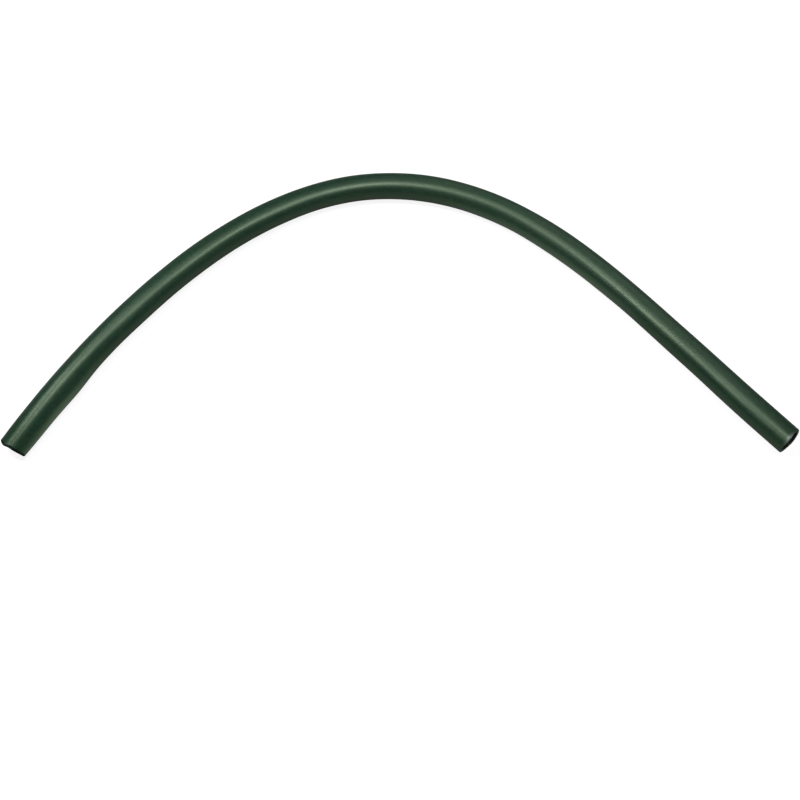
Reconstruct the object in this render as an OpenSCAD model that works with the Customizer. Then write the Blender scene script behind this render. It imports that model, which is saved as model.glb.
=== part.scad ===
// A cut length of plain soaker hose, lying on its side in one open bend.
// One extruded piece: a round wall with the water way right through it.
// The origin is on the ground, under the middle of the bend's box. The crown of the
// bend points along +Y, and the two cut ends lie towards -Y.

/* [Tube] */
// Diameter of the water way
bore_d = 12.5; // [10:0.5:16]
// Thickness of the wall
wall = 2.25; // [1.5:0.25:4]

/* [Cut ends] */
// Straight stretch at the left end, measured on the axis, where a fitting goes
left_straight = 25.5; // [16:0.5:34]
// Straight stretch at the right end, measured on the axis, where a fitting goes
right_straight = 23.5; // [16:0.5:34]
// Left cut's lean off square, which makes its top overhang its foot
left_cut_lean = 11.5; // [0:0.5:20]
// Right cut's lean off square, which makes its foot stand out past its top
right_cut_lean = 5; // [0:0.5:20]

/* [Bend] */
// Flat sides of the bent stretch between the two straight ends
sides = 12; // [8, 12]

/* [Hidden] */
$fn = 96;

// The flat sides of the bent stretch stand this much outside the true circle
flat_gap = 0.05;
// A round end reaches this far into the bent stretch
bite = 0.5;

outer_d = bore_d + 2 * wall;
axis_z = outer_d / 2 + flat_gap;

// Middle line of the bent stretch from left to right, in plan. The straight ends
// carry it on in these two directions, in degrees from +X.
route = [
    [-214, -75], [-188, -35], [-164, -3], [-140, 24], [-113, 49],
    [-83, 70], [-50, 85], [-13, 92], [22, 89], [56, 77],
    [90, 56], [120, 30], [149, -1], [180, -37], [212, -74],
];
left_heading = 59;
right_heading = -48;
last = len(route) - 1;

// Direction of the run from one route point to the next
function bearing(i) =
    let (run = route[i + 1] - route[i])
    atan2(run.y, run.x);

// Direction of the tube at a route point: halfway between its two runs
function heading(i) =
    i == 0 ? left_heading
    : i == last ? right_heading
    : (bearing(i - 1) + bearing(i)) / 2;

// Half the turn at a route point, which widens the mitre between its two runs
function half_turn(i) =
    i == 0 || i == last ? 0 : (bearing(i) - bearing(i - 1)) / 2;

// One ring of corners round a route point, in the mitre plane, flat side down
function ring(i, diameter) =
    let (
        r = (diameter / 2 + flat_gap) / cos(180 / sides),
        mitre = 1 / cos(half_turn(i)),
        side = [-sin(heading(i)), cos(heading(i))]
    )
    [
        for (k = [0:sides - 1])
            let (
                turn = (k + 0.5) * 360 / sides,
                across = route[i] + side * r * mitre * cos(turn)
            )
            [across.x, across.y, axis_z + r * sin(turn)]
    ];

// Two triangles for each side between two rings of corners that start at a and b
function skin(a, b) = [
    for (k = [0:sides - 1])
        let (n = (k + 1) % sides)
        each [[a + k, b + n, a + n], [a + k, b + k, b + n]]
];

// The bent stretch: the outside, the water way, and a ring face at each end
module bent_stretch() {
    rings = last + 1;
    inner = rings * sides;
    points = concat(
        [for (i = [0:last]) each ring(i, outer_d)],
        [for (i = [0:last]) each ring(i, bore_d)]
    );
    outside = [for (i = [0:last - 1]) each skin(i * sides, (i + 1) * sides)];
    water_way = [
        for (i = [0:last - 1])
            each skin(inner + (i + 1) * sides, inner + i * sides)
    ];
    left_face = skin(inner, 0);
    right_face = skin(last * sides, inner + last * sides);
    polyhedron(points, concat(outside, water_way, left_face, right_face));
}

// A straight, truly round end that leaves route point at towards outward, in degrees
// from +X. It is cut off at that length with the given lean.
module straight_end(at, outward, straight, lean) {
    reach = straight + axis_z * tan(abs(lean)) + wall;
    block = 2 * outer_d;
    translate([at.x, at.y, axis_z])
        rotate([0, 0, outward])
            difference() {
                rotate([0, 90, 0])
                    translate([0, 0, -bite])
                        cylinder(d = outer_d, h = bite + reach);
                rotate([0, 90, 0])
                    translate([0, 0, -wall])
                        cylinder(d = bore_d, h = reach + 2 * wall);
                translate([straight, 0, 0])
                    rotate([0, lean, 0])
                        translate([0, -block / 2, -block / 2])
                            cube(block);
            }
}

module hose() {
    color([0.137, 0.227, 0.169])
        union() {
            bent_stretch();
            straight_end(route[0], left_heading + 180, left_straight, left_cut_lean);
            straight_end(route[last], right_heading, right_straight, -right_cut_lean);
        }
}

hose();
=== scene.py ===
"""A cut length of plain soaker hose, lying on a pale floor in one open bend."""
import math
import random

import bpy
import numpy as np
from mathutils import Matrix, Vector


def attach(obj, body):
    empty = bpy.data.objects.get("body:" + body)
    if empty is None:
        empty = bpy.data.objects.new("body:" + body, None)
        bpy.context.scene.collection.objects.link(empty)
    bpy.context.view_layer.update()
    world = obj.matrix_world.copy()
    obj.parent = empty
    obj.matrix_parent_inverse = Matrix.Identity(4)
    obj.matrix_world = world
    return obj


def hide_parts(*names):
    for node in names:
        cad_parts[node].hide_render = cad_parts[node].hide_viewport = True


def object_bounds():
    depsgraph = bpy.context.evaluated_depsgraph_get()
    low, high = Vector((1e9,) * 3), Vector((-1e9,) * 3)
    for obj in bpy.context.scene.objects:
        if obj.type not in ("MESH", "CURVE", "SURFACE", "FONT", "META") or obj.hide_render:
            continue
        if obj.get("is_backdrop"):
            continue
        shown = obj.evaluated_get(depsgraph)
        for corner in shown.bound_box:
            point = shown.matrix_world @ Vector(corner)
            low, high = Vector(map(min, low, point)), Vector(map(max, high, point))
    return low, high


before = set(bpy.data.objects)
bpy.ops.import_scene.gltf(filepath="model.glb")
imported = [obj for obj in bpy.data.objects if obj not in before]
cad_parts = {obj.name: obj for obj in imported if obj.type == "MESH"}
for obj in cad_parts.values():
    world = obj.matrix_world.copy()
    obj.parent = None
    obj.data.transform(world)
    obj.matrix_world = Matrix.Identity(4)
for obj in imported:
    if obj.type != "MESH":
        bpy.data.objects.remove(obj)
cad_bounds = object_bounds()

MM = 0.001

# The hose's real sizes and its route, as in the CAD model. The route is in millimetres,
# and the headings and the leans of the cuts are in degrees. Most of the route's points
# were picked from a scratch program's list of whole-millimetre points near the measured
# middle line, and all of them were then moved together.
ROUTE_MM = [
    (-214, -75), (-188, -35), (-164, -3), (-140, 24), (-113, 49),
    (-83, 70), (-50, 85), (-13, 92), (22, 89), (56, 77),
    (90, 56), (120, 30), (149, -1), (180, -37), (212, -74),
]
LEFT_HEADING = 59.0
RIGHT_HEADING = -48.0
OUTER_D = 17.0 * MM
BORE_D = 12.5 * MM
OUTER_R = OUTER_D / 2
BORE_R = BORE_D / 2
AXIS_Z = 8.55 * MM
STRAIGHT = {"left": 25.5 * MM, "right": 23.5 * MM}
LEAN = {"left": 11.5, "right": -5.0}

# How finely the tube and its cord path are built
SIDES = 96
OUTER_STEP = 1.6 * MM
BORE_STEP = 4.0 * MM
LIP_STEPS = 6
FACE_STEPS = 4
SPAN_POINTS = 240
CORD_POINTS = 241

# The view: a 64 mm lens, 62 degrees above the floor
CAMERA_LENS = 64.0
CAMERA_SENSOR = 36.0
CAMERA_ELEVATION = 62.0
CAMERA_DISTANCE = 0.855
CAMERA_TARGET = (-0.0003, -0.0597, 0.0)

SEED = 7
rng = random.Random(SEED)


# ---------------------------------------------------------------- camera

def make_camera():
    """A camera that looks straight at its target, with no shift."""
    data = bpy.data.cameras.new("camera")
    data.lens = CAMERA_LENS
    data.sensor_width = CAMERA_SENSOR
    data.sensor_fit = "HORIZONTAL"
    camera = bpy.data.objects.new("camera", data)
    bpy.context.scene.collection.objects.link(camera)
    up = math.radians(CAMERA_ELEVATION)
    away = Vector((0.0, -math.cos(up), math.sin(up)))
    camera.location = Vector(CAMERA_TARGET) + away * CAMERA_DISTANCE
    camera.rotation_euler = (math.radians(90.0 - CAMERA_ELEVATION), 0.0, 0.0)
    bpy.context.scene.camera = camera


# ---------------------------------------------------------------- the route

def heading_vector(degrees):
    """Unit vector in plan at that many degrees from +X."""
    a = math.radians(degrees)
    return np.array([math.cos(a), math.sin(a)])


def clamped_spline(points, first, last):
    """(knots, slopes) of the cubic spline with the end slopes first and last."""
    knots = np.concatenate([[0.0], np.cumsum(np.hypot(*np.diff(points, axis=0).T))])
    gap = np.diff(knots)
    count = len(points)
    matrix = np.zeros((count, count))
    right = np.zeros((count, 2))
    matrix[0, 0] = matrix[-1, -1] = 1.0
    right[0], right[-1] = first, last
    for i in range(1, count - 1):
        matrix[i, i - 1] = gap[i]
        matrix[i, i] = 2.0 * (gap[i] + gap[i - 1])
        matrix[i, i + 1] = gap[i - 1]
        before = (points[i] - points[i - 1]) / gap[i - 1]
        after = (points[i + 1] - points[i]) / gap[i]
        right[i] = 3.0 * (gap[i] * before + gap[i - 1] * after)
    return knots, np.linalg.solve(matrix, right)


def dense_line(points, first, last):
    """Many points of that spline, in order."""
    knots, slopes = clamped_spline(points, first, last)
    spans = len(points) - 1
    rows = []
    for i in range(spans):
        h = knots[i + 1] - knots[i]
        t = np.linspace(0.0, 1.0, SPAN_POINTS, endpoint=i == spans - 1)[:, None]
        rows.append(
            (2 * t**3 - 3 * t**2 + 1) * points[i]
            + (t**3 - 2 * t**2 + t) * h * slopes[i]
            + (-2 * t**3 + 3 * t**2) * points[i + 1]
            + (t**3 - t**2) * h * slopes[i + 1]
        )
    return np.concatenate(rows)


class Route:
    """The hose's middle line: s is 0 at the left joint, and the ends run on straight."""

    def __init__(self):
        points = np.array(ROUTE_MM, float) * MM
        first = heading_vector(LEFT_HEADING)
        last = heading_vector(RIGHT_HEADING)
        self.line = dense_line(points, first, last)
        steps = np.hypot(*np.diff(self.line, axis=0).T)
        self.s = np.concatenate([[0.0], np.cumsum(steps)])
        self.length = self.s[-1]
        run = np.gradient(self.line, self.s, axis=0)
        self.run = run / np.linalg.norm(run, axis=1)[:, None]
        self.run[0], self.run[-1] = first, last

    def at(self, s):
        """(places, directions) in plan at the lengths s along the middle line."""
        s = np.asarray(s, float)
        inside = np.clip(s, 0.0, self.length)
        place = np.stack([np.interp(inside, self.s, c) for c in self.line.T], -1)
        run = np.stack([np.interp(inside, self.s, c) for c in self.run.T], -1)
        run /= np.linalg.norm(run, axis=-1, keepdims=True)
        return place + run * (s - inside)[..., None], run


# ---------------------------------------------------------------- the hose's unevenness

# These lists say how the hose changes along its length: each row starts with the length
# from the left joint, in millimetres. Their numbers aren't hand-chosen. A scratch program
# fitted SHOULDER to the photograph, and the other four were set from what scratch programs
# measured on it. All five were then rounded, thinned or adjusted.

# The wall isn't quite round. One shoulder stands out a little, by up to one and a half
# times this many millimetres. Where the number is negative, it is the other shoulder.
SHOULDER = [
    (-30, 0.10), (0, 0.28), (30, 0.35), (60, 0.18), (90, -0.05), (140, -0.25), (200, -0.28),
    (260, -0.15), (300, -0.15), (350, 0.12), (390, 0.00), (440, -0.05), (470, -0.15),
    (510, -0.05), (560, -0.25), (585, -0.30),
]
# How far the wall stands out on the bend's outer side, in millimetres
OUTER_SWELL = [
    (-26, -0.50), (-12, 0.05), (16, 0.40), (60, 0.30), (90, -0.10), (134, 0.00),
    (170, -0.25), (206, -0.25), (254, 0.15), (280, 0.05), (314, 0.25), (386, 0.08),
    (410, -0.20), (490, 0.00), (534, 0.35), (556, 0.35), (584, 0.15),
]
# The same on its inner side, where the left leg is widest
INNER_SWELL = [
    (-26, 0.00), (-12, 0.30), (4, 0.45), (16, 0.75), (28, 0.88), (38, 0.10), (48, -0.40),
    (64, -0.35), (88, 0.15), (206, 0.15), (226, -0.28), (254, -0.50), (280, -0.20),
    (364, -0.05), (386, 0.50), (436, 0.50), (458, 0.00), (490, 0.10), (518, -0.20),
    (540, 0.05), (584, 0.15),
]
# How much rougher the skin is than elsewhere
ROUGHER = [
    (-30, 0.00), (0, -0.05), (30, -0.06), (60, 0.00), (300, 0.00), (366, 0.05),
    (396, 0.05), (450, 0.00), (500, -0.01), (525, -0.04), (560, 0.00), (585, -0.05),
]
# How strong the skin's sheen is: it's duller at the left tip and after the crown
SHEEN = [
    (-30, 0.23), (-18, 0.27), (4, 0.68), (26, 0.90), (60, 0.73), (300, 0.70), (345, 0.54),
    (400, 0.58), (460, 0.70), (510, 0.71), (534, 0.80), (560, 0.70),
]
# Each list is averaged over these steps, in millimetres, so that it has no sharp corners
ROUNDING = (-5.0, -2.5, 0.0, 2.5, 5.0)

# The side of the hose that faces the camera, in degrees from the bend's outer side, up
# over the top. The angles below are in radians from it, towards the bend's outer side.
NEAR_SIDE = 110.0
# The shoulders end at this angle on either side, and fade out over this many radians
SHOULDER_FADE = (2.5, 0.8)
# A paler strip painted along the bend's inner side, low down: painted light thrown back
# from the floor, as (strength, angle, half-width). It is plainest at the left end, up to the
# first of these lengths in millimetres, and fades to a trace at the second.
PAINTED_FLOOR_LIGHT_STRIP = (1.0, -1.20, 0.32)
PAINTED_FLOOR_LIGHT_FADE = (20, 60)
PAINTED_FLOOR_LIGHT_TRACE = 0.50
# Random waves along the wall: how many, the shortest, the longest and the height, in
# metres. There is one such set for each number of lobes round the hose, from none up, and
# each set is turned by one more step.
WAVES = (4, 0.045, 0.16, 0.06 * MM)
LOBE_SETS = 5
LOBE_TURN = 1.3

# The right cut bulges outwards: (height, angle, half-width), with heights in millimetres.
# Both cuts wander by sine waves round the hose: (height, lobes, phase).
RIGHT_BULGE = (1.15, -0.15, 0.85)
RIGHT_WANDER = [(0.10, 2, 2.4), (0.06, 5, 0.4)]
RIGHT_SHIFT = -0.03
# The left cut has a small knife step and a rounded corner: (height, place, half-width),
# where the place is measured along this direction (y, z) in outside radii.
LEFT_ACROSS = (0.89, 0.45)
LEFT_STEP = (0.52, 0.58, 0.16 * math.sqrt(2))
LEFT_CORNER = (0.55, 1.0, 0.22)
LEFT_WANDER = [(0.05, 5, 2.0)]
LEFT_SHIFT = -0.25
# The rounding of each cut's edges, in millimetres: the outer one, how much wider it is at
# the top, and the inner one
LIP_RADII = {"left": (0.95, 0.10, 0.35), "right": (0.55, 0.05, 0.30)}
# Each cut face is hollow by this much
DISH = 0.06 * MM

# How much painted highlight each cut's edge has, strongest near the top: (strength, angle,
# half-width). On the right it is painted pale grey; on the left it lessens the painted shade.
PAINTED_HIGHLIGHT_EDGE = {"left": (0.9, 0.25, 0.46), "right": (1.0, 0.02, 0.42)}
# The share of the right edge's painted highlight that the wall's last ring has already
PAINTED_HIGHLIGHT_START = 0.22
# How dark the painted shade is on the wall's first ring at the left cut, and how narrow that
# ring is
RIM_PAINTED_SHADE = 0.4
RIM_WIDTH = 0.45 * MM
# How steeply the painted shade on the left edge darkens over its rounding, and how dark the
# painted shade on the face inside it is
RIM_RISE = 4.0
FACE_PAINTED_SHADE = 0.5


def waves(count, shortest, longest, height):
    """A few random sine waves, as (waves a metre, phase, height)."""
    return [
        (
            1.0 / rng.uniform(shortest, longest),
            rng.uniform(0.0, 2 * math.pi),
            height * rng.uniform(0.5, 1.0) / count,
        )
        for _ in range(count)
    ]


def sum_waves(parts, s):
    """The sum of those waves at the lengths s."""
    return sum(h * np.sin(2 * math.pi * f * s + p) for f, p, h in parts)


ROUND_WAVES = [waves(*WAVES) for _ in range(LOBE_SETS)]


def along(table, s):
    """A list's value at the lengths s along the hose, with its corners rounded off."""
    return np.mean([np.interp(s / MM + d, *np.transpose(table)) for d in ROUNDING], axis=0)


def hump(x, height, middle, half):
    """A smooth hump of that height at middle, with that half-width."""
    return height * np.exp(-(((x - middle) / half) ** 2))


def from_near(theta):
    """The angle round the hose from its near side, between -pi and pi."""
    turn = math.radians(NEAR_SIDE) - theta
    return (turn + math.pi) % (2 * math.pi) - math.pi


def shoulder(s, theta):
    """The height of that shoulder, which fades out towards the floor.

    Its peak is 1.54 times the list's number, 35 degrees from the near side.
    """
    turn = from_near(theta)
    end, reach = SHOULDER_FADE
    fade = np.clip((end - np.abs(turn)) / reach, 0.0, 1.0)
    fade = fade * fade * (3 - 2 * fade)
    return MM * along(SHOULDER, s) * 4 * np.sin(turn) * np.cos(turn) ** 2 * fade


def swell(s, theta):
    """The wall's unevenness on the bend's two sides."""
    out = np.sin(from_near(theta))
    outer = along(OUTER_SWELL, s) * np.maximum(out, 0.0) ** 2
    inner = along(INNER_SWELL, s) * np.minimum(out, 0.0) ** 2
    return MM * (outer + inner)


def radius_offset(s, theta):
    """How far the real outside departs from a true circle: a slightly uneven round."""
    total = shoulder(s, theta) + swell(s, theta)
    for k, parts in enumerate(ROUND_WAVES):
        total = total + sum_waves(parts, s) * np.cos(k * theta + LOBE_TURN * k)
    return total


def cut_offset(side, radius, theta):
    """How far past the end's nominal length the cut lies, at a place in the section."""
    y, z = radius * np.cos(theta), radius * np.sin(theta)
    flat = z * math.tan(math.radians(LEAN[side]))
    if side == "right":
        form = hump(from_near(theta), *RIGHT_BULGE)
        wander, shift = RIGHT_WANDER, RIGHT_SHIFT
    else:
        across = (LEFT_ACROSS[0] * y + LEFT_ACROSS[1] * z) / OUTER_R
        form = hump(across, *LEFT_STEP) - hump(across, *LEFT_CORNER)
        wander, shift = LEFT_WANDER, LEFT_SHIFT
    form = form + sum(h * np.sin(lobes * theta + phase) for h, lobes, phase in wander)
    return flat + MM * (form + shift)


def lip_radii(side, theta):
    """(outer, inner) rounding of the cut's two edges."""
    outer, wider, inner = LIP_RADII[side]
    return MM * (outer + wider * np.sin(theta)), np.full_like(theta, MM * inner)


# ---------------------------------------------------------------- the tube's mesh

class Tube:
    """The whole hose as one closed mesh: outside, right lip, water way, left lip."""

    # Some layers carry painted light: cut the right edge's painted highlight, inside the
    # painted shade of the bore and the left rim, and the last one the painted floor light on
    # the inner flank
    LAYERS = ("cut", "inside", "rougher", "sheen", "painted_floor_light")

    def __init__(self, route):
        self.route = route
        self.theta = np.arange(SIDES) * 2 * math.pi / SIDES
        self.near = from_near(self.theta)
        self.rings = []
        self.coords = []
        self.layers = {key: [] for key in self.LAYERS}

    def ring(self, s, radius, cut=0.0, inside=0.0):
        """One ring of corners at lengths s and at that radius, both one per corner."""
        s = np.broadcast_to(s, self.theta.shape).astype(float)
        radius = np.broadcast_to(radius, self.theta.shape).astype(float)
        place, run = self.route.at(s)
        across = np.stack([-run[:, 1], run[:, 0]], -1)
        y = radius * np.cos(self.theta)
        z = radius * np.sin(self.theta)
        plan = place + across * y[:, None]
        height = np.maximum(AXIS_Z + z, 0.0)
        self.rings.append(np.concatenate([plan, height[:, None]], 1))
        self.coords.append(np.stack([y, z, s], 1))
        # The painted floor light on the inner flank is strongest at the left end
        fade = np.interp(s / MM, PAINTED_FLOOR_LIGHT_FADE, (1.0, PAINTED_FLOOR_LIGHT_TRACE))
        values = {
            "cut": cut,
            "inside": inside,
            "rougher": along(ROUGHER, s),
            "sheen": along(SHEEN, s),
            "painted_floor_light": hump(self.near, *PAINTED_FLOOR_LIGHT_STRIP) * fade,
        }
        for key, value in values.items():
            self.layers[key].append(np.broadcast_to(value, self.theta.shape))

    def outer_ring(self, s, cut=0.0, inside=0.0):
        """One ring of the outside, with its unevenness."""
        self.ring(s, OUTER_R + radius_offset(s, self.theta), cut, inside)

    def end_length(self, side, radius):
        """Length of the straight end up to the cut, for each corner at that radius."""
        return STRAIGHT[side] + cut_offset(side, radius, self.theta)

    def lengths(self, step, radius, hold):
        """Lengths along the hose for the rings of a wall.

        Past the two joints the rings shear over to meet the cuts, less hold at each end.
        """
        full = self.route.length
        left = self.end_length("left", radius) - hold[0]
        right = self.end_length("right", radius) - hold[1]
        ends = round(STRAIGHT["left"] / step)
        middle = round(full / step)
        rows = [-left * (1 - i / ends) for i in range(ends)]
        rows += [np.full(SIDES, full * i / middle) for i in range(middle)]
        rows += [full + right * (i / ends) for i in range(ends + 1)]
        return rows

    def build(self):
        """All the rings in order, round through the water way and back to the start."""
        lips = {side: lip_radii(side, self.theta) for side in ("left", "right")}
        rows = self.lengths(OUTER_STEP, OUTER_R, (lips["left"][0], lips["right"][0]))
        # Painted shade on the left cut's first ring, less where its edge has a painted
        # highlight
        self.outer_ring(rows[0], inside=RIM_PAINTED_SHADE * (1.0 - self.painted_highlight_edge("left")))
        rows[0] = rows[0] + RIM_WIDTH
        for s in rows[:-1]:
            self.outer_ring(s)
        # The right cut's last ring starts its painted highlight
        self.outer_ring(rows[-1], cut=PAINTED_HIGHLIGHT_START * self.painted_highlight_edge("right"))
        self.lip("right", lips["right"])
        rows = self.lengths(BORE_STEP, BORE_R, (lips["left"][1], lips["right"][1]))
        for s in reversed(rows):
            # The bore, painted near black: painted shade
            self.ring(s, BORE_R, inside=1.0)
        self.lip("left", lips["left"])

    def painted_highlight_edge(self, side):
        """How much painted highlight the cut's edge has, for each corner: it is strongest near
        the top.
        """
        return hump(self.near, *PAINTED_HIGHLIGHT_EDGE[side])

    def lip(self, side, radii):
        """The cut face and its two rounded edges, without the walls' own last rings.

        The right one goes inwards and the left one outwards. The wall's unevenness fades
        towards the bore, with the cube of the radius.
        """
        outer_lip, bore_lip = radii
        # Each row: radius, setback, the right edge's share of painted highlight, and the left
        # edge's painted shade
        rows = []
        for i in range(1, LIP_STEPS + 1):
            a = 0.5 * math.pi * i / LIP_STEPS
            radius = OUTER_R - outer_lip * (1 - math.cos(a))
            back = outer_lip * (1 - math.sin(a))
            rows.append((radius, back, i / LIP_STEPS, min(RIM_RISE * i / LIP_STEPS, 1.0)))
        high, low = OUTER_R - outer_lip, BORE_R + bore_lip
        for i in range(1, FACE_STEPS):
            t = i / FACE_STEPS
            back = DISH * math.sin(math.pi * t)
            rows.append((high + (low - high) * t, back, 1.0, FACE_PAINTED_SHADE))
        for i in range(LIP_STEPS):
            a = 0.5 * math.pi * i / LIP_STEPS
            radius = BORE_R + bore_lip * (1 - math.sin(a))
            back = bore_lip * (1 - math.cos(a))
            rows.append((radius, back, 1.0, min(FACE_PAINTED_SHADE + a, 1.0)))
        full = self.route.length
        painted_highlight = self.painted_highlight_edge(side)
        wall_end = full + STRAIGHT["right"] if side == "right" else -STRAIGHT["left"]
        uneven = radius_offset(wall_end, self.theta)
        # The right edge and face are painted pale grey, a painted highlight; the left ones get
        # painted shade
        for radius, back, cut, painted_shade in rows if side == "right" else reversed(rows):
            reach = self.end_length(side, radius) - back
            grown = radius + uneven * (radius / OUTER_R) ** 3
            if side == "right":
                self.ring(full + reach, grown, cut=(PAINTED_HIGHLIGHT_START + (1 - PAINTED_HIGHLIGHT_START) * cut) * painted_highlight)
            else:
                self.ring(-reach, grown, inside=painted_shade * (1.0 - painted_highlight))

    def to_object(self, name):
        """The rings as one closed mesh object, with its coordinates as attributes."""
        count = len(self.rings)
        corners = np.concatenate(self.rings)
        faces = []
        for j in range(count):
            a, b = j * SIDES, ((j + 1) % count) * SIDES
            for k in range(SIDES):
                n = (k + 1) % SIDES
                faces.append((a + k, a + n, b + n, b + k))
        mesh = bpy.data.meshes.new(name)
        mesh.from_pydata(corners.tolist(), [], faces)
        mesh.update()
        if sum(p.area * p.normal.z * p.center.z for p in mesh.polygons) < 0:
            mesh.flip_normals()
        mesh.shade_smooth()
        flow = mesh.attributes.new("flow", "FLOAT_VECTOR", "POINT")
        flow.data.foreach_set("vector", np.concatenate(self.coords).ravel())
        for key, values in self.layers.items():
            layer = mesh.attributes.new(key, "FLOAT", "POINT")
            layer.data.foreach_set("value", np.concatenate(values).astype(float))
        made = bpy.data.objects.new(name, mesh)
        bpy.context.scene.collection.objects.link(made)
        return made


# ---------------------------------------------------------------- materials

class Nodes:
    """Short ways to add and link the nodes of one material."""

    # The colour sockets of a Mix node: its two inputs and its output
    MIX_A, MIX_B, MIX_OUT = 6, 7, 2

    def __init__(self, name):
        self.material = bpy.data.materials.new(name)
        self.material.use_nodes = True
        self.tree = self.material.node_tree
        self.tree.nodes.clear()

    def add(self, kind, **values):
        """A new node of that kind, with these settings."""
        node = self.tree.nodes.new(kind)
        for key, value in values.items():
            setattr(node, key, value)
        return node

    def link(self, a, b):
        """A link from the output a to the input b."""
        self.tree.links.new(a, b)

    def feed(self, socket, value):
        """A constant set on the input, or a link to it."""
        if isinstance(value, (int, float, tuple)):
            socket.default_value = value
        else:
            self.link(value, socket)

    def maths(self, operation, a, b=0.0, clamp=False):
        """The result of that operation on a and b."""
        node = self.add("ShaderNodeMath", operation=operation, use_clamp=clamp)
        self.feed(node.inputs[0], a)
        self.feed(node.inputs[1], b)
        return node.outputs[0]

    def ramp(self, value, low, high, to_low=0.0, to_high=1.0):
        """A smooth change from to_low to to_high, while value goes from low to high."""
        node = self.add("ShaderNodeMapRange", interpolation_type="SMOOTHSTEP")
        self.feed(node.inputs["Value"], value)
        node.inputs["From Min"].default_value = low
        node.inputs["From Max"].default_value = high
        node.inputs["To Min"].default_value = to_low
        node.inputs["To Max"].default_value = to_high
        return node.outputs[0]

    def mix(self, factor, a, b):
        """A colour between a and b."""
        node = self.add("ShaderNodeMix", data_type="RGBA")
        self.feed(node.inputs[0], factor)
        self.feed(node.inputs[self.MIX_A], a)
        self.feed(node.inputs[self.MIX_B], b)
        return node.outputs[self.MIX_OUT]

    def noise(self, vector, stretch, scale, detail, roughness):
        """A noise pattern, drawn out along the hose where stretch is below 1."""
        node = self.add("ShaderNodeTexNoise")
        self.link(self.stretched(vector, stretch), node.inputs["Vector"])
        node.inputs["Scale"].default_value = scale
        node.inputs["Detail"].default_value = detail
        node.inputs["Roughness"].default_value = roughness
        return node.outputs["Fac"]

    def stretched(self, vector, stretch):
        """The coordinates of a pattern that is drawn out along the hose."""
        node = self.add("ShaderNodeVectorMath", operation="MULTIPLY")
        self.link(vector, node.inputs[0])
        node.inputs[1].default_value = (1.0, 1.0, stretch)
        return node.outputs[0]

    def distance(self, vector, place):
        """How far vector is from that place."""
        node = self.add("ShaderNodeVectorMath", operation="DISTANCE")
        self.link(vector, node.inputs[0])
        node.inputs[1].default_value = place
        return node.outputs["Value"]

    def value(self, name):
        """The mesh's attribute of that name, as one number."""
        return self.add("ShaderNodeAttribute", attribute_name=name).outputs["Fac"]

    def vector(self, name):
        """The mesh's attribute of that name, as a vector."""
        return self.add("ShaderNodeAttribute", attribute_name=name).outputs["Vector"]


# Patterns of the skin: (stretch, features a metre, detail, roughness)
PATTERNS = {
    "lines": (0.012, 900.0, 3.0, 0.6),
    "broad": (0.06, 160.0, 2.0, 0.5),
    "drift": (1.0, 22.0, 2.0, 0.5),
    "grain": (1.0, 2200.0, 3.0, 0.65),
    "mottle": (0.6, 500.0, 2.0, 0.6),
}
# Pores a metre, and how ragged the grain makes them. A pore is deepest up to the first of
# these values of the ragged pattern, and ends at the second.
PORES = 1050.0
RAGGED = 0.45
PORE_EDGES = (0.30, 0.52)

# The skin's first colour, and the tints that go over it in turn: the pattern, the colour
# and (low, high, share at low, share at high)
DEEP_GREEN = (0.0086, 0.0338, 0.0186, 1)
TINTS = [
    ("broad", (0.0118, 0.0405, 0.0225, 1), (0.35, 0.65, 0.0, 1.0)),
    ("drift", (0.0143, 0.0385, 0.0180, 1), (0.42, 0.66, 0.0, 0.60)),
    ("lines", (0.0075, 0.0272, 0.0158, 1), (0.35, 0.70, 0.0, 0.55)),
    ("grain", (0.0190, 0.0530, 0.0300, 1), (0.45, 0.75, 0.0, 0.45)),
    ("ragged", (0.0060, 0.0140, 0.0090, 1), (*PORE_EDGES, 0.70, 0.0)),
    ("mottle", (0.0050, 0.0180, 0.0105, 1), (0.36, 0.50, 0.30, 0.0)),
    ("mottle", (0.0240, 0.0680, 0.0390, 1), (0.50, 0.64, 0.0, 0.18)),
]
# The painted floor light on the inner flank, the painted highlight on the right cut's edge
# with its grain, and the painted shade of the bore and the left rim
PAINTED_FLOOR_LIGHT_GREEN = (0.0330, 0.0900, 0.0360, 1)
# Pale greys painted on the right cut's edge as a painted highlight, mixed by the grain
CUT_HIGHLIGHT_GREY = (0.48, 0.55, 0.57, 1)
CUT_HIGHLIGHT_PALE = (0.60, 0.67, 0.69, 1)
CUT_GRAIN = (0.3, 0.7)
# Near-black painted shade for the bore and the left rim
PAINTED_SHADE_BLACK = (0.0085, 0.0140, 0.0105, 1)

# The skin's roughness over the broad pattern, and what the lines add to it, both as (low,
# high, value at low, value at high)
SKIN_ROUGH = (0.3, 0.7, 0.360, 0.410)
LINES_ROUGH = (0.3, 0.7, -0.03, 0.04)
# The bore and the left rim, which carry the painted shade, are rougher, and have less sheen
INSIDE_ROUGH = 0.45
INSIDE_SHEEN = 0.50
SHEEN_TINT = (0.78, 1.0, 0.71, 1.0)
RUBBER_IOR = 1.55
# Bump: shares of the lines, the grain and the pores, its strength and its depth
LINES_BUMP = 0.6
GRAIN_BUMP = 0.5
PORES_BUMP = 0.6
BUMP_STRENGTH = 0.5
BUMP_DEPTH = 0.08 * MM


def skin_patterns(n, flow):
    """The skin's patterns by name, with the ragged pores among them."""
    found = {name: n.noise(flow, *values) for name, values in PATTERNS.items()}
    pores = n.add("ShaderNodeTexVoronoi", feature="F1")
    n.link(flow, pores.inputs["Vector"])
    pores.inputs["Scale"].default_value = PORES
    uneven = n.maths("MULTIPLY", found["grain"], RAGGED)
    found["ragged"] = n.maths("ADD", pores.outputs["Distance"], uneven)
    return found


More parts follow.
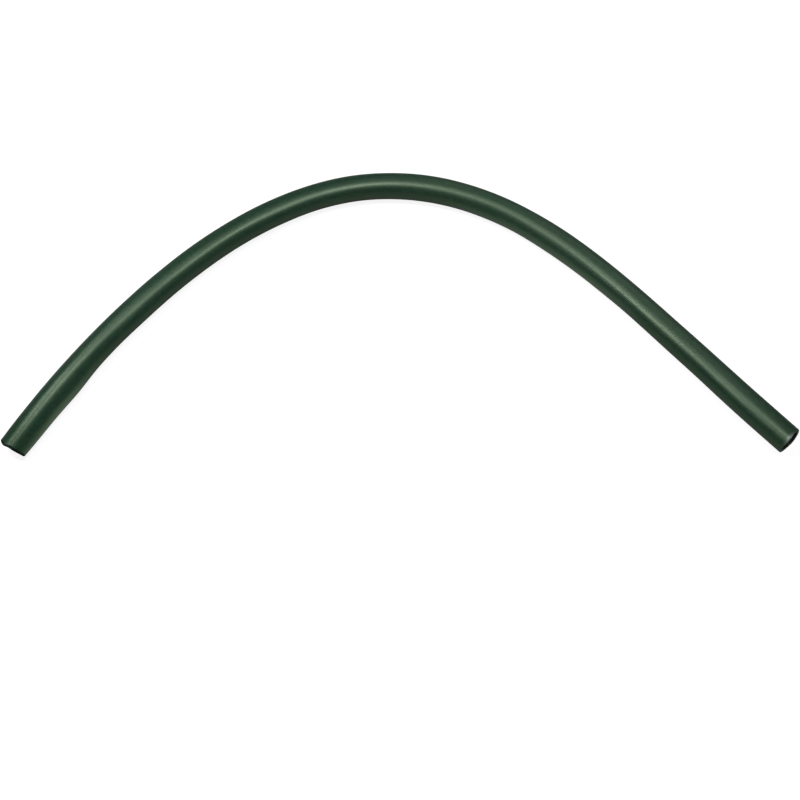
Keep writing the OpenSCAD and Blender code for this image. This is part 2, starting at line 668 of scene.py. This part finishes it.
def rubber():
    """Dark green extruded rubber: fine lines along it and faint pores, with painted light: a
    painted highlight on the right cut's edge, painted shade in the bore and on the left rim,
    and painted floor light on the inner flank.
    """
    n = Nodes("hose_rubber_green")
    skin = skin_patterns(n, n.vector("flow"))
    lines, grain = skin["lines"], skin["grain"]
    inside = n.value("inside")

    colour = DEEP_GREEN
    for name, tint, change in TINTS:
        colour = n.mix(n.ramp(skin[name], *change), colour, tint)
    # A paler green painted along the inner flank, as painted light from the floor
    colour = n.mix(n.value("painted_floor_light"), colour, PAINTED_FLOOR_LIGHT_GREEN)
    # The right cut's edge painted pale grey: a painted highlight
    cut_painted_highlight = n.mix(n.ramp(grain, *CUT_GRAIN), CUT_HIGHLIGHT_GREY, CUT_HIGHLIGHT_PALE)
    colour = n.mix(n.value("cut"), colour, cut_painted_highlight)
    # Painted shade, near black, in the bore and on the left rim
    colour = n.mix(inside, colour, PAINTED_SHADE_BLACK)

    rough = n.ramp(skin["broad"], *SKIN_ROUGH)
    rough = n.maths("ADD", rough, n.ramp(lines, *LINES_ROUGH))
    rough = n.maths("ADD", rough, n.value("rougher"))
    rough = n.maths("ADD", rough, n.maths("MULTIPLY", inside, INSIDE_ROUGH), clamp=True)
    darker = n.maths("MULTIPLY", inside, INSIDE_SHEEN)
    sheen = n.maths("SUBTRACT", n.value("sheen"), darker, clamp=True)

    height = n.maths("MULTIPLY", lines, LINES_BUMP)
    height = n.maths("ADD", height, n.maths("MULTIPLY", grain, GRAIN_BUMP))
    pit = n.ramp(skin["ragged"], *PORE_EDGES, 1.0, 0.0)
    height = n.maths("SUBTRACT", height, n.maths("MULTIPLY", pit, PORES_BUMP))
    bump = n.add("ShaderNodeBump")
    bump.inputs["Strength"].default_value = BUMP_STRENGTH
    bump.inputs["Distance"].default_value = BUMP_DEPTH
    n.link(height, bump.inputs["Height"])

    shader = n.add("ShaderNodeBsdfPrincipled")
    n.link(colour, shader.inputs["Base Color"])
    n.link(rough, shader.inputs["Roughness"])
    n.link(bump.outputs["Normal"], shader.inputs["Normal"])
    n.link(sheen, shader.inputs["Specular IOR Level"])
    shader.inputs["IOR"].default_value = RUBBER_IOR
    shader.inputs["Specular Tint"].default_value = SHEEN_TINT
    out = n.add("ShaderNodeOutputMaterial")
    n.link(shader.outputs[0], out.inputs["Surface"])
    return n.material


# ---------------------------------------------------------------- stage and light

FLOOR_SIZE = 6.0
# The floor's matt colour where it is looked at, and in the light that it throws back
FLOOR_SEEN = (0.20, 0.20, 0.20, 1)
FLOOR_BOUNCE = (0.60, 0.60, 0.60, 1)
# The floor is lifted to white where it is looked at. Beyond the lamps' pool, between these
# distances from the middle, all of its white comes from the lift.
FLOOR_LIFT = 0.895
LIFT_FADE = (0.40, 0.90)
# How much of that white the hose's sheen shows, and where it shows more: beside the left
# end and beside the right leg. Each patch fades out between these distances from it.
GLOSSY_SHARE = 0.03
BRIGHT_SPOTS = [((-0.178, -0.115, 0.0), 0.45), ((0.076, 0.030, 0.0), 0.38)]
SPOT_FADE = (0.03, 0.08)
# The world's strength where it is looked at, and everywhere else
WORLD_SEEN = 1.0
WORLD_FILL = 0.032
WHITE = (1.0, 1.0, 1.0, 1.0)
# The soft boxes: name, place, side and radiance. A scratch program fitted them to the
# photograph. The fitted numbers were rounded, and the top box was made wider and
# dimmer.
SOFT_BOXES = [
    ("left_box", (-0.43, 0.05, 0.81), 0.27, 22.6),
    ("top_box", (0.38, -0.245, 2.61), 0.45, 44.5),
    ("back_box", (0.26, 0.50, 0.40), 0.53, 0.6),
]


def floor_material():
    """A matt floor, lifted to white where it is looked at, with its shadows kept."""
    n = Nodes("floor_white")
    path = n.add("ShaderNodeLightPath")
    diffuse = n.add("ShaderNodeBsdfDiffuse")
    colour = n.mix(path.outputs["Is Diffuse Ray"], FLOOR_SEEN, FLOOR_BOUNCE)
    n.link(colour, diffuse.inputs["Color"])
    place = n.add("ShaderNodeNewGeometry").outputs["Position"]
    share = GLOSSY_SHARE
    for spot, more in BRIGHT_SPOTS:
        share = n.maths("ADD", n.ramp(n.distance(place, spot), *SPOT_FADE, more, 0.0), share)
    glossy = n.maths("MULTIPLY", path.outputs["Is Glossy Ray"], share)
    seen = n.maths("ADD", path.outputs["Is Camera Ray"], glossy)
    seen = n.maths("ADD", seen, path.outputs["Is Transmission Ray"], clamp=True)
    lift = n.ramp(n.distance(place, (0.0, 0.0, 0.0)), *LIFT_FADE, FLOOR_LIFT, 1.0)
    glow = n.add("ShaderNodeEmission")
    n.link(n.maths("MULTIPLY", seen, lift), glow.inputs["Strength"])
    both = n.add("ShaderNodeAddShader")
    n.link(diffuse.outputs[0], both.inputs[0])
    n.link(glow.outputs[0], both.inputs[1])
    out = n.add("ShaderNodeOutputMaterial")
    n.link(both.outputs[0], out.inputs["Surface"])
    return n.material


def make_floor():
    """A plain floor at height 0: the hose rests on it."""
    half = FLOOR_SIZE / 2
    mesh = bpy.data.meshes.new("floor")
    corners = [(-half, -half, 0), (half, -half, 0), (half, half, 0), (-half, half, 0)]
    mesh.from_pydata(corners, [], [(0, 1, 2, 3)])
    mesh.materials.append(floor_material())
    floor = bpy.data.objects.new("floor", mesh)
    bpy.context.scene.collection.objects.link(floor)
    floor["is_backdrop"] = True


def soft_box(name, place, side, radiance):
    """A square lamp at that place, which looks at the middle of the hose."""
    data = bpy.data.lights.new(name, "AREA")
    data.shape = "SQUARE"
    data.size = side
    data.energy = radiance * math.pi * side * side
    lamp = bpy.data.objects.new(name, data)
    lamp.location = place
    lamp.rotation_euler = Vector(place).to_track_quat("Z", "Y").to_euler()
    lamp.visible_camera = False
    bpy.context.scene.collection.objects.link(lamp)


def make_world():
    """White where it is looked at, and a dim even fill for everything else."""
    world = bpy.data.worlds.new("studio")
    bpy.context.scene.world = world
    world.use_nodes = True
    tree = world.node_tree
    tree.nodes.clear()
    path = tree.nodes.new("ShaderNodeLightPath")
    strength = tree.nodes.new("ShaderNodeMapRange")
    strength.inputs["To Min"].default_value = WORLD_FILL
    strength.inputs["To Max"].default_value = WORLD_SEEN
    shade = tree.nodes.new("ShaderNodeBackground")
    shade.inputs["Color"].default_value = WHITE
    out = tree.nodes.new("ShaderNodeOutputWorld")
    tree.links.new(path.outputs["Is Camera Ray"], strength.inputs["Value"])
    tree.links.new(strength.outputs[0], shade.inputs["Strength"])
    tree.links.new(shade.outputs[0], out.inputs["Surface"])


# ---------------------------------------------------------------- the scene

bpy.context.scene.view_settings.view_transform = "Standard"
make_camera()

route = Route()
tube = Tube(route)
tube.build()
hose = tube.to_object("soaker_hose")
hose.data.materials.append(rubber())
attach(hose, "root")
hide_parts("hose")

stations = np.linspace(-STRAIGHT["left"], route.length + STRAIGHT["right"], CORD_POINTS)
path_points = [(x, y, AXIS_Z) for x, y in route.at(stations)[0]]

make_floor()
for box in SOFT_BOXES:
    soft_box(*box)
make_world()

sizes = {"cad": cad_bounds, "visual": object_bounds()}
sizes = {key: [[float(v) for v in corner] for corner in box] for key, box in sizes.items()}
